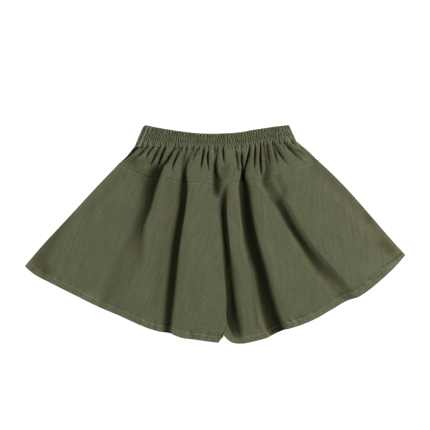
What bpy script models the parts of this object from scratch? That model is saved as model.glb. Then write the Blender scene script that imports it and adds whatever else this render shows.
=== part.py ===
"""A child's pull-on flared shorts, laid flat with the front up.

Metres, +Z up. +Y runs from the hems to the waist, and left and right are as seen from above.
The back panels lie on the surface at Z = 0, the front panels lie over them and stand up in
soft flutes between the folds that run from the gathered waist to the hems.
The tables below are in millimetres.
"""

import bpy
import numpy as np

MM = 0.001

# Walls of cloth, and the gap that is left between pieces.
CLOTH = 1.0
HEM = 1.8
BAND = 3.2
GAP = 0.3
# The gap along a curved seam, whose two sides are faceted differently.
CURVED_GAP = 0.8

# The part of a leg's length that its turned-up hem takes.
HEM_SHARE = 0.036
# How far the back hem lies inside the front hem.
BACK_TUCK = 1.5
# The band's left end: the back band turns round it and ends on the front, at this share of its length.
WRAP_SHARE = 0.03
# How far the front yoke's top corner lies inside the back yoke's, on the left.
YOKE_TUCK = 5.0
# About how deep the band and the yoke are, and how long the band is.
BAND_DEPTH = 27.0
YOKE_DEPTH = 50.0
BAND_LENGTH = 220.0

# Outlines seen from above, x and y. Curves across run from left to right, the others down.
BAND_TOP = [(-106, 163.5), (-66, 156), (-14, 150.5), (31, 152), (72, 158.6), (110.5, 163.8)]
WAIST = {
    "left": [(-120, 131), (-75, 131), (-42, 129), (3, 128.4)],
    "right": [(3, 128.4), (45, 129.2), (90, 135.7), (121.5, 140.2)],
}
YOKE = {
    "left": [(-145, 106.2), (-120, 95.5), (-100, 86.5), (-71, 85), (-50, 79), (-24, 79), (5.5, 71.5)],
    "right": [(5.5, 71.5), (24, 78.5), (47, 81), (80, 83.6), (114, 97), (152.5, 110.5)],
}
LEG_HEM = {
    "left": [
        (-284.5, -46.6), (-276, -54.5), (-213, -89.3), (-133.5, -125.5), (-100, -141.5), (-62, -149.5),
        (-50, -154.8), (5.9, -162.5),
    ],
    "right": [
        (13.3, -148), (22, -158), (37.5, -163.7), (74, -158), (97, -145), (151.5, -125.3),
        (198, -98.3), (212, -94.4), (253.5, -62.3), (284.5, -30.8),
    ],
}
SIDE = {
    "left": [(-145, 106.2), (-199.5, 45.7), (-284.5, -46.6)],
    "right": [(152.5, 110.5), (205, 61), (246, 15), (284.5, -30.8)],
}
CROTCH = [(5.5, 71.5), (12, 52), (13.5, 10), (17, -50), (18.2, -95), (17.8, -122), (13.3, -148)]
INNER = {"left": CROTCH + [(5.9, -162.5)], "right": CROTCH}

# Height of the front's flutes: down is 0 at the waist seam, 1 at the yoke seam and 2 at the hem.
FLUTE_DOWN = [0, 0.35, 1, 1.5, 2]
FLUTE_HEIGHT = [7.4, 9.5, 12, 14.5, 13]
# Width over which the front comes down to the back along a side seam.
SIDE_ROLL = 30.0
YOKE_ROLL = 12.0

# The large folds, from the waist down. Each row is a section across the fold: where its floor is,
# the share of the flute's height that it takes, half the floor's width, and how far from the
# floor's middle its left and right lips are.
FOLD_COLUMNS = ("x", "y", "depth", "floor", "left", "right")
FOLDS = {
    "outer_left": [
        (-74, 126, 0.30, 0.5, 4, 4),
        (-84, 101, 0.70, 1.0, 8, 5),
        (-91, 82, 0.95, 2.0, 20, 7),
        (-103, 52, 0.90, 2.0, 22, 8),
        (-113, 18, 0.70, 1.5, 22, 9),
        (-118, -6, 0.35, 1.0, 22, 16),
        (-158, -84, 0.12, 1.0, 22, 22),
    ],
    "inner_left": [
        (-33, 126, 0.35, 0.5, 4, 4),
        (-42, 98, 0.75, 1.0, 5, 4),
        (-47, 79, 0.95, 2.0, 9, 6),
        (-57, 7, 1.00, 2.5, 12, 9),
        (-68, -83, 1.00, 3.0, 13, 10),
        (-73, -149, 0.95, 3.0, 13, 10),
    ],
    "centre": [
        (3, 126, 0.35, 0.5, 3, 3),
        (1, 100, 0.80, 1.0, 9, 5),
        (2, 80, 0.95, 1.5, 7, 7),
        (4, 64, 0.80, 1.0, 8, 6),
        (6, 52, 0.00, 0.5, 8, 6),
    ],
    "crotch": [
        (14, 76, 0.00, 0.5, 6, 3),
        (12, 52, 1.00, 1.0, 18, 4),
        (13.5, 10, 1.00, 1.5, 12, 5),
        (17, -50, 1.00, 2.5, 8, 9),
        (18.2, -83, 1.00, 1.0, 5, 14),
        (17.8, -122, 1.00, 1.0, 4, 20),
        (13.3, -148, 1.00, 1.0, 4, 22),
    ],
    "inner_right": [
        (44.5, 126, 0.35, 0.5, 4, 4),
        (41, 100, 0.80, 1.0, 4, 8),
        (41, 79, 0.95, 2.5, 6, 10),
        (46, 40, 1.00, 4.0, 9, 11),
        (50, 7, 1.00, 4.5, 10, 13),
        (70, -61, 1.00, 4.0, 12, 13),
        (81, -110, 1.00, 4.0, 14, 15),
        (90, -150, 0.90, 3.0, 9, 15),
    ],
    "outer_right": [
        (72, 128, 0.25, 0.5, 3, 3),
        (76, 84, 0.50, 1.0, 8, 8),
        (94, 52, 0.50, 1.5, 14, 12),
        (111, 18, 0.85, 1.5, 12, 12),
        (134, -16, 0.80, 1.5, 13, 12),
        (171, -61, 0.55, 1.5, 17, 14),
        (206, -100, 0.45, 1.5, 15, 14),
    ],
}

# The yoke's gathers: where each starts under the band and would meet the yoke seam, the share of
# the yoke's height that it reaches, its depth and half its width.
GATHER_COLUMNS = ("top", "foot", "reach", "depth", "width")
GATHER_FLOOR = 0.3
GATHER_FADE = 0.35
GATHERS = [
    (-100, -128, 0.60, 0.50, 3.0),
    (-92, -113, 0.30, 0.45, 2.5),
    (-82, -103, 0.98, 0.70, 3.2),
    (-62, -80, 0.95, 0.70, 3.0),
    (-49, -65, 0.70, 0.60, 3.0),
    (-25, -36, 0.45, 0.50, 2.8),
    (-16.5, -24, 0.80, 0.60, 3.0),
    (-9, -9, 0.80, 0.50, 2.6),
    (13, 14, 0.40, 0.50, 2.8),
    (31, 30, 0.65, 0.50, 2.8),
    (52, 50, 0.80, 0.55, 3.0),
    (59.5, 58, 0.60, 0.50, 2.8),
    (66, 68, 0.98, 0.60, 2.8),
    (80, 90, 0.80, 0.50, 3.0),
    (91, 114, 0.90, 0.70, 3.2),
    (106, 131, 0.80, 0.65, 3.2),
]

# The back panels touch the surface between these folds, which stand up inside the garment.
# Each has its place under the waist and at the hem, its height and half its width.
BACK_FOLD_COLUMNS = ("top", "hem", "height", "width")
BACK_FOLD_FLOOR = 0.5
BACK_FOLDS = {
    "left": [(-112, -205, 3.0, 9), (-68, -118, 3.6, 8), (-22, -30, 3.2, 8)],
    "right": [(28, 58, 3.4, 7), (62, 128, 3.6, 8), (118, 232, 3.0, 9)],
}
# The back yoke's gathers, and their height at each of its rows from the waist down.
BACK_GATHERS = 15
BACK_GATHER_HEIGHTS = [2.0, 2.0, 1.0, 0.0]

# The elastic's ruffles along the band.
FRONT_RUFFLES = 30
BACK_RUFFLES = 22
RUFFLE_HEIGHT = 0.8

# Rows and columns of the walls, and the least share of a row between two columns.
LEG_ROWS = 10
YOKE_ROWS = 3
BAND_ROWS = 2
BACK_ROWS = 8
WRAP_STEPS = 6
LEAST_COLUMN = 0.004
# Shares across a half at which a line over it is looked for.
ACROSS = np.linspace(0, 1, 401)

OLIVE = (0.112, 0.117, 0.068, 1.0)
OLIVE_HEM = (0.120, 0.125, 0.074, 1.0)
OLIVE_BAND = (0.105, 0.108, 0.062, 1.0)
ROUGHNESS = 0.9


# Curves and patches


def along(points, share):
    """Points at these shares of the length of a smooth curve through the points."""
    points = np.asarray(points, float)
    steps = np.linalg.norm(np.diff(points, axis=0), axis=1)
    knots = np.concatenate([[0], np.cumsum(steps)]) / steps.sum()
    slopes = np.gradient(points, knots, axis=0)
    share = np.asarray(share, float)
    i = np.clip(np.searchsorted(knots, share, side="right") - 1, 0, len(steps) - 1)
    span = (knots[i + 1] - knots[i])[..., None]
    u = ((share - knots[i]) / (knots[i + 1] - knots[i]))[..., None]
    return (
        points[i] * (1 - u) ** 2 * (1 + 2 * u)
        + points[i + 1] * u**2 * (3 - 2 * u)
        + slopes[i] * span * u * (1 - u) ** 2
        - slopes[i + 1] * span * u**2 * (1 - u)
    )


def patch(top, bottom, start, end, across, down):
    """The point of a panel between its four edges, for shares across and down it."""
    s = np.asarray(across, float)[..., None]
    t = np.asarray(down, float)[..., None]
    corners = [np.asarray(p, float) for p in (top[0], top[-1], bottom[0], bottom[-1])]
    ruled = (1 - t) * along(top, across) + t * along(bottom, across)
    sides = (1 - s) * along(start, down) + s * along(end, down)
    flat = (1 - t) * ((1 - s) * corners[0] + s * corners[1]) + t * ((1 - s) * corners[2] + s * corners[3])
    return ruled + sides - flat


def half_point(side, across, down, tuck=0.0):
    """The plan point of one half of a layer. Down is 0 at the waist, 1 at the yoke seam, 2 at the hem."""
    waist, yoke, hem = WAIST[side], YOKE[side], LEG_HEM[side]
    if side == "left":
        waist = [(waist[0][0] + tuck, waist[0][1])] + waist[1:]
    outer, centre = SIDE[side], INNER[side]
    middle = [waist[-1], yoke[-1]] if side == "left" else [waist[0], yoke[0]]
    corner = [waist[0], yoke[0]] if side == "left" else [waist[-1], yoke[-1]]
    yoke_edges = (corner, middle) if side == "left" else (middle, corner)
    leg_edges = (outer, centre) if side == "left" else (centre, outer)
    down = np.asarray(down, float)
    in_yoke = patch(waist, yoke, *yoke_edges, across, np.clip(down, 0, 1))
    in_leg = patch(yoke, hem, *leg_edges, across, np.clip(down - 1, 0, 1))
    # The legs part along the crotch seam and the inseam.
    apart = across * -CURVED_GAP / 2 if side == "left" else (1 - across) * CURVED_GAP / 2
    in_leg[..., 0] += apart
    return np.where((down < 1)[..., None], in_yoke, in_leg)


def distance_to(points, line):
    """How far each plan point is from a line of points."""
    best = np.full(points.shape[:-1], np.inf)
    for a, b in zip(line[:-1], line[1:]):
        a, b = np.asarray(a, float), np.asarray(b, float)
        share = np.clip(((points - a) @ (b - a)) / ((b - a) @ (b - a)), 0, 1)
        best = np.minimum(best, np.linalg.norm(points - a - share[..., None] * (b - a), axis=-1))
    return best


# The form of the laid front


def section(fold, y):
    """A fold's columns at these heights on the plan, and the width there of a step in x, seen square on."""
    rows = np.array(sorted(FOLDS[fold], key=lambda row: row[1]), float)
    found = {name: np.interp(y, rows[:, 1], rows[:, i]) for i, name in enumerate(FOLD_COLUMNS)}
    lean = np.gradient(rows[:, 0], rows[:, 1])
    found["square"] = 1 / np.sqrt(1 + np.interp(y, rows[:, 1], lean) ** 2)
    return found


def taken(distance, floor, left, right):
    """The share of a fold's depth at a distance from its floor's middle: 1 on the floor, 0 past its lips."""
    lip = np.where(distance < 0, left, right)
    u = np.clip((np.abs(distance) - floor) / np.maximum(lip - floor, 0.1), 0, 1)
    return 0.5 + 0.5 * np.cos(np.pi * u)


def gather_line(row, down):
    """Where a gather is at a share down the yoke, and how much of its depth is left there."""
    gather = dict(zip(GATHER_COLUMNS, row))
    x = gather["top"] + (gather["foot"] - gather["top"]) * down
    fade = np.clip((gather["reach"] - down) / GATHER_FADE, 0, 1)
    return x, gather["depth"] * fade, gather["width"]


def front_floor(down):
    """The lowest that the front lies: on the back, and on its hem near the hem."""
    on_panel = 2 * CLOTH + GAP
    on_hem = 2 * HEM + GAP
    return np.interp(down, [2 - 2.5 * HEM_SHARE, 2 - HEM_SHARE], [on_panel, on_hem])


def front_height(side, points, down):
    """Height of the front's outer face over plan points."""
    floor = front_floor(down)
    crest = np.interp(down, FLUTE_DOWN, FLUTE_HEIGHT)
    corner = WAIST[side][0 if side == "left" else -1]
    edge = distance_to(points, [corner] + SIDE[side])
    roll = np.interp(down, [0, 1, 1.3], [YOKE_ROLL, YOKE_ROLL * 1.5, SIDE_ROLL])
    keep = 1 - (1 - np.clip(edge / roll, 0, 1)) ** 2
    for fold in FOLDS:
        at = section(fold, points[..., 1])
        distance = (points[..., 0] - at["x"]) * at["square"]
        keep = keep * (1 - at["depth"] * taken(distance, at["floor"], at["left"], at["right"]))
    for row in GATHERS:
        x, depth, width = gather_line(row, down)
        keep = keep * (1 - depth * taken(points[..., 0] - x, GATHER_FLOOR, width, width))
    return floor + (crest - floor) * keep


def back_height(side, points, down):
    """Height of the back's lower face over plan points: 0 where it lies on the surface."""
    height = np.zeros(points.shape[:-1])
    # The folds end short of both seams, which lie flat.
    along_leg = np.interp(down, [1.0, 1.15, 1.8, 2 - 1.5 * HEM_SHARE], [0, 1, 1, 0])
    for row in BACK_FOLDS[side]:
        fold = dict(zip(BACK_FOLD_COLUMNS, row))
        x = np.interp(down, [1, 2], [fold["top"], fold["hem"]])
        width = fold["width"]
        height += fold["height"] * along_leg * taken(points[..., 0] - x, BACK_FOLD_FLOOR, width, width)
    return height


# Walls


def grid_normals(grid):
    """Unit normals of a grid of points, pointing up where the rows run down and the columns right."""
    across = np.gradient(grid, axis=1)
    down = np.gradient(grid, axis=0)
    normal = np.cross(down, across)
    return normal / np.linalg.norm(normal, axis=-1, keepdims=True)


def wall_object(name, outer, inner, colour):
    """A closed wall between two grids of points: outer faces up, inner faces down."""
    rows, columns = outer.shape[:2]
    points = np.concatenate([outer.reshape(-1, 3), inner.reshape(-1, 3)]) * MM
    below = rows * columns
    faces = []
    for r in range(rows - 1):
        for c in range(columns - 1):
            a, b, d, e = r * columns + c, r * columns + c + 1, (r + 1) * columns + c + 1, (r + 1) * columns + c
            faces += [(a, e, d, b), (a + below, b + below, d + below, e + below)]
    rim = [(0, c) for c in range(columns)] + [(r, columns - 1) for r in range(1, rows)]
    rim += [(rows - 1, c) for c in range(columns - 2, -1, -1)] + [(r, 0) for r in range(rows - 2, 0, -1)]
    for (r, c), (r2, c2) in zip(rim, rim[1:] + rim[:1]):
        a, b = r * columns + c, r2 * columns + c2
        faces.append((a, b, b + below, a + below))
    mesh = bpy.data.meshes.new(name)
    mesh.from_pydata(points.tolist(), [], faces)
    mesh.shade_smooth()
    mesh.set_sharp_from_angle(angle=np.radians(50))
    material = bpy.data.materials.new(name)
    material.use_nodes = True
    shader = material.node_tree.nodes["Principled BSDF"]
    shader.inputs["Base Color"].default_value = colour
    shader.inputs["Roughness"].default_value = ROUGHNESS
    mesh.materials.append(material)
    made = bpy.data.objects.new(name, mesh)
    bpy.context.collection.objects.link(made)
    return made


def front_wall(name, side, across, down, thickness, colour):
    """A front panel through a grid of shares across and down its half."""
    plan = half_point(side, across, down)
    outer = np.dstack([plan, front_height(side, plan, down)])
    inner = outer - grid_normals(outer) * thickness
    # A steep rim would push the inner face past the panel's edge, or through the back.
    lowest = front_floor(down) - thickness
    inner[..., 2] = np.maximum(inner[..., 2], lowest)
    for edge in (np.s_[0, :], np.s_[-1, :], np.s_[:, 0], np.s_[:, -1]):
        inner[edge][..., :2] = outer[edge][..., :2]
    return wall_object(name, outer, inner, colour)


def back_wall(name, side, across, down, thickness, colour):
    """A back panel: its lower face lies on the surface between its folds."""
    plan = half_point(side, across, down)
    lower = np.dstack([plan, back_height(side, plan, down)])
    upper = lower.copy()
    upper[..., 2] += thickness
    return wall_object(name, upper, lower, colour)


# Panels of the legs


def shares_between(knots, counts):
    """Columns between knots, which are arrays of one share a row."""
    columns = [knots[0]]
    for left, right, count in zip(knots[:-1], knots[1:], counts):
        columns += [left + (right - left) * (i + 1) / count for i in range(count)]
    return np.stack(columns, axis=1)


def crossing(side, fold, edge, down):
    """The share across its half at which each row meets an edge of a fold's floor, or one of its lips."""
    column = edge if edge in ("left", "right") else "floor"
    turn = -1 if edge in ("left", "near") else 1
    found = []
    for row in down:
        plan = half_point(side, ACROSS, np.full(ACROSS.shape, row))
        at = section(fold, plan[:, 1])
        line = at["x"] + turn * at[column] / at["square"]
        found.append(np.interp(0, plan[:, 0] - line, ACROSS))
    return np.array(found)


def leg_columns(side, down):
    """Columns that follow a leg's folds: lip, floor, floor and lip of each, and more between them."""
    start, end = np.zeros(down.shape), np.ones(down.shape)
    if side == "left":
        knots, counts = [start], []
        for fold in ("outer_left", "inner_left"):
            knots += [crossing(side, fold, edge, down) for edge in ("left", "near", "far", "right")]
            counts += [4, 2, 1, 2]
        knots += [crossing(side, "crotch", "left", down), end]
        counts += [4, 3]
    else:
        knots, counts = [start, crossing(side, "crotch", "right", down)], [4]
        for fold in ("inner_right", "outer_right"):
            knots += [crossing(side, fold, edge, down) for edge in ("left", "near", "far", "right")]
            counts += [2, 2, 1, 3]
        knots.append(end)
        counts.append(5)
    for i in range(1, len(knots)):
        knots[i] = np.maximum(knots[i], knots[i - 1] + LEAST_COLUMN)
    for i in range(len(knots) - 2, -1, -1):
        knots[i] = np.minimum(knots[i], knots[i + 1] - LEAST_COLUMN)
    return shares_between(knots, counts)


def length_down(side):
    """About how long a leg is from its yoke seam to its hem."""
    ends = half_point(side, np.array([0.5, 0.5]), np.array([1.0, 2.0]))
    return np.linalg.norm(ends[1] - ends[0])


def build_legs():
    for side in ("left", "right"):
        gap_down = CURVED_GAP / length_down(side) / 2
        stitched = 2 - HEM_SHARE
        down = np.linspace(1 + gap_down, stitched - gap_down, LEG_ROWS + 1)
        across = leg_columns(side, down)
        front_wall(f"leg_front_{side}", side, across, across * 0 + down[:, None], CLOTH, OLIVE)
        down = np.array([stitched + gap_down, 2.0])
        across = leg_columns(side, down)
        front_wall(f"hem_front_{side}", side, across, across * 0 + down[:, None], HEM, OLIVE_HEM)

        tucked = 2 - BACK_TUCK / length_down(side)
        down = np.linspace(1 + gap_down, stitched - gap_down, BACK_ROWS + 1)
        across = back_columns(side, down)
        back_wall(f"leg_back_{side}", side, across, across * 0 + down[:, None], CLOTH, OLIVE)
        down = np.array([stitched + gap_down, tucked])
        across = back_columns(side, down)
        back_wall(f"hem_back_{side}", side, across, across * 0 + down[:, None], HEM, OLIVE_HEM)


def back_columns(side, down):
    """Columns that follow the back's folds: both feet and the top of each."""
    knots, counts = [np.zeros(down.shape)], []
    for row in BACK_FOLDS[side]:
        fold = dict(zip(BACK_FOLD_COLUMNS, row))
        for offset in (-fold["width"], 0, fold["width"]):
            found = []
            for d in down:
                plan = half_point(side, ACROSS, np.full(ACROSS.shape, d))
                x = np.interp(d, [1, 2], [fold["top"], fold["hem"]]) + offset
                found.append(np.interp(x, plan[:, 0], ACROSS))
            knots.append(np.array(found))
        counts += [2, 2, 2]
    knots.append(np.ones(down.shape))
    counts.append(2)
    return shares_between(knots, counts)


# Yokes


def yoke_shares(side, lines, down):
    """Columns on a half of the yoke along lines given by their x at the waist and at the yoke seam."""
    columns = []
    for top, foot in lines:
        found = []
        for d in down:
            plan = half_point(side, ACROSS, np.full(ACROSS.shape, d))
            found.append(np.interp(top + (foot - top) * d, plan[:, 0], ACROSS))
        columns.append(found)
    return np.array(columns).T


def front_yoke_lines():
    """Each gather and each fold at the waist, and a ridge halfway between neighbours."""
    creases = [(row[0], row[1]) for row in GATHERS]
    creases += [(FOLDS[f][0][0], FOLDS[f][2][0]) for f in ("outer_left", "inner_left", "centre", "inner_right")]
    creases.append((FOLDS["outer_right"][0][0], FOLDS["outer_right"][1][0]))
    creases.sort()
    ridges = [((a[0] + b[0]) / 2, (a[1] + b[1]) / 2) for a, b in zip(creases, creases[1:])]
    return sorted(creases + ridges)


def build_yokes():
    gap_down = CURVED_GAP / YOKE_DEPTH / 2
    down = np.linspace(gap_down, 1 - gap_down, YOKE_ROWS + 1)
    middle = (WAIST["left"][-1][0], YOKE["left"][-1][0])
    grids, heights = [], []
    for side in ("left", "right"):
        lines = [line for line in front_yoke_lines() if (line[0] < middle[0]) == (side == "left")]
        lines = [line for line in lines if abs(line[0] - middle[0]) > 1.0]
        inside = yoke_shares(side, lines, down)
        zero, one = np.zeros((len(down), 1)), np.ones((len(down), 1))
        edge = np.full((len(down), 1), 0.03)
        if side == "left":
            across = np.hstack([zero, edge, inside, one])
        else:
            across = np.hstack([inside, 1 - edge, one])
        spread = across * 0 + down[:, None]
        plan = half_point(side, across, spread, YOKE_TUCK)
        grids.append(plan)
        heights.append(front_height(side, plan, spread))
    outer = np.dstack([np.hstack(grids), np.hstack(heights)])
    inner = outer - grid_normals(outer) * CLOTH
    inner[..., 2] = np.maximum(inner[..., 2], CLOTH + GAP)
    for edge in (np.s_[0, :], np.s_[-1, :], np.s_[:, 0], np.s_[:, -1]):
        inner[edge][..., :2] = outer[edge][..., :2]
    wall_object("yoke_front", outer, inner, OLIVE)

    grids = []
    for side in ("left", "right"):
        across = np.linspace(0, 1, BACK_GATHERS + 1)[None, :].repeat(len(down), 0)
        across = across if side == "left" else across[:, 1:]
        grids.append(half_point(side, across, across * 0 + down[:, None]))
    plan = np.hstack(grids)
    lower = np.dstack([plan, np.zeros(plan.shape[:2])])
    # Every other column stands up as a gather, less and less towards the yoke seam.
    lower[:, 1:-1:2, 2] = np.array(BACK_GATHER_HEIGHTS)[:, None]
    upper = lower + np.array([0, 0, CLOTH])
    wall_object("yoke_back", upper, lower, OLIVE)


# Waistband


def band_point(share, depth):
    """The band's plan point: share along it from the left, and depth from its top edge to the waist seam."""
    waist = WAIST["left"] + WAIST["right"][1:]
    depth = np.asarray(depth, float)[..., None]
    return (1 - depth) * along(BAND_TOP, share) + depth * along(waist, share)


def build_waistband():
    gap_down = GAP / BAND_DEPTH
    gap_across = GAP / BAND_LENGTH
    depth = np.linspace(0, 1 - gap_down, BAND_ROWS + 1)[:, None]
    share = np.linspace(WRAP_SHARE + gap_across, 1, 2 * FRONT_RUFFLES + 1)[None, :]
    share, depth = share + depth * 0, depth + share * 0
    outer = np.dstack([band_point(share, depth), np.full(share.shape, 2 * BAND + GAP)])
    outer[:, 1::2, 2] -= RUFFLE_HEIGHT
    outer[:, -1, 2] = 2 * BAND + GAP - 2 * RUFFLE_HEIGHT
    inner = outer.copy()
    inner[..., 2] = BAND + GAP
    wall_object("waistband_front", outer, inner, OLIVE_BAND)

    # The back band runs along the surface from the right end, turns up at the left end and ends on top.
    run = np.linspace(1, WRAP_SHARE, 2 * BACK_RUFFLES + 1)
    centre = BAND + GAP / 2
    turn = np.linspace(0, np.pi, WRAP_STEPS + 1)
    middle = centre - BAND / 2
    half_wall = np.full(run.shape, BAND / 2)
    half_wall[1::2] -= RUFFLE_HEIGHT / 2
    share = np.concatenate([run, turn * 0, [WRAP_SHARE - gap_across]])
    reach = np.concatenate([run * 0, np.sin(turn) * middle, [0.0]])
    height = np.concatenate([run * 0 + centre - middle, centre - np.cos(turn) * middle, [centre + middle]])
    push = np.concatenate([run * 0, -np.sin(turn), [0.0]])
    lift = np.concatenate([run * 0 - 1, -np.cos(turn), [1.0]])
    half = np.concatenate([half_wall, np.full(len(turn) + 1, BAND / 2)])
    rows = np.linspace(0, 1 - gap_down, BAND_ROWS + 1)
    outer, inner = [], []
    for row in rows:
        plan = band_point(share, np.full(share.shape, row))
        base = np.column_stack([plan[:, 0] - reach + middle, plan[:, 1], height])
        base[: len(run), 0] -= middle * (1 - run)
        base[-1, 0] -= middle
        swell = np.column_stack([push, push * 0, lift])
        flat = np.full((len(share), 1), BAND / 2)
        outer.append(base + swell * flat)
        inner.append(base - swell * half[:, None])
    outer, inner = np.array(outer), np.array(inner)
    wall_object("waistband_back", outer, inner, OLIVE_BAND)


def main():
    for old in list(bpy.data.objects):
        bpy.data.objects.remove(old)
    build_waistband()
    build_yokes()
    build_legs()


main()
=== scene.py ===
"""A child's pull-on flared shorts in washed olive linen, laid flat with the front up.

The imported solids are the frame, and every sewn piece here is a thin shell of cloth on its solid's
form. Tables are in millimetres. +Y runs from the hems to the waist, and left and right are as seen
from above.
"""

import bpy
import numpy as np
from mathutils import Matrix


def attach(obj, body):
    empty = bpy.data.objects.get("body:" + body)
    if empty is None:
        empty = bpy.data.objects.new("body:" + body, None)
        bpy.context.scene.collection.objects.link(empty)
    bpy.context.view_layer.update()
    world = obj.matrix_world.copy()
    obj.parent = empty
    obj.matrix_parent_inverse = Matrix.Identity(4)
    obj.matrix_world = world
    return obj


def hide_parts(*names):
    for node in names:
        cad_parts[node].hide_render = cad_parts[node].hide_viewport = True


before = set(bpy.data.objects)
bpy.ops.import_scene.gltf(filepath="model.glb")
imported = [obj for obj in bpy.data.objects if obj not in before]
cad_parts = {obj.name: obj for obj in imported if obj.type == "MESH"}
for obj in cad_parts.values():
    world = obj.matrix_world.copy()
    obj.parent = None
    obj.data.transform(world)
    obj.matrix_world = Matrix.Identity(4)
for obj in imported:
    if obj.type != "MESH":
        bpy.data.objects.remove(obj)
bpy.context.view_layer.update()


# ---------------------------------------------------------------------------------------------
# Front legs
# Two flared panels of washed linen, joined down the crotch seam in the floor of the middle fold.
# They stand up in soft flutes between deep folds that run down from the gathered yoke. Each hem is
# turned up twice to the inside and topstitched.

MM = 0.001
# The cloth's thickness, the hem's width and thickness, and how far in it is stitched.
LINEN, HEM_WIDTH, HEM_LAYERS, HEM_STITCH = 0.8, 9.2, 1.9, 8.0

YOKE_SEAM = {
    "left": [(-144.3, 106.2), (-120, 95.5), (-100, 86.5), (-71, 85), (-50, 79), (-24, 79), (5.5, 71.5)],
    "right": [(5.5, 71.5), (24, 78.5), (47, 81), (80, 83.6), (114, 97), (154.8, 110.4)],
}
LEG_HEM = {
    "left": [
        (-285, -46.8), (-269, -58.6), (-245, -71.2), (-209, -89.4), (-173, -107.2), (-137, -122.6),
        (-113, -133.6), (-100, -138.8), (-77, -145.2), (-64, -147.8), (-52, -152.4), (-28, -156),
        (5.9, -160.8),
    ],
    "right": [
        (13.3, -148), (19, -154.6), (25, -159.4), (31, -161.3), (43, -161.6), (55, -159.4),
        (67, -157), (79, -153.6), (91, -147.4), (103, -142.3), (127, -134.6), (151, -124.4),
        (175, -110.5), (199, -97.2), (212, -93), (224, -85.6), (247, -67), (284.8, -30.2),
    ],
}
SIDE_SEAM = {
    "left": [(-144.3, 106.2), (-170.8, 78.7), (-226.4, 18.7), (-260, -17.5), (-285, -46.8)],
    "right": [(154.8, 110.4), (176, 90.7), (199.3, 66.7), (231.2, 30.7), (262.3, -5.3), (284.8, -30.2)],
}
YOKE_SIDE = {
    "left": [(-121.5, 131), (-132, 117.9), (-144.3, 106.2)],
    "right": [(121.5, 140.2), (137.5, 126.9), (154.8, 110.4)],
}
CROTCH_SEAM = [
    (5.5, 71.5), (12, 52), (13.5, 10), (15.6, -50), (16.9, -95), (18.2, -122), (17.9, -137),
    (13.3, -148),
]
SEAM_OVERLAP = 1.2
INSEAM = {
    "left": CROTCH_SEAM + [(5.9, -160.8)],
    "right": [(x - SEAM_OVERLAP, y) for x, y in CROTCH_SEAM],
}

# Height of the flutes' crests: down is 0 at the waist, 1 at the yoke seam and 2 at the hem.
FLUTE_DOWN = [0, 0.35, 1, 1.5, 2]
FLUTE_HEIGHT = [8.6, 10.2, 12, 14.3, 12.8]
LYING = 2.2
# The lowest that the front's lower face comes, on the back.
LOWEST = 0.95
# The cloth's own unevenness: height, length across and down, and seed. This share is left in folds.
RELIEF = [(0.45, 34, 60, 3), (0.16, 11, 22, 4)]
RELIEF_IN_FOLDS = 0.35

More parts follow.
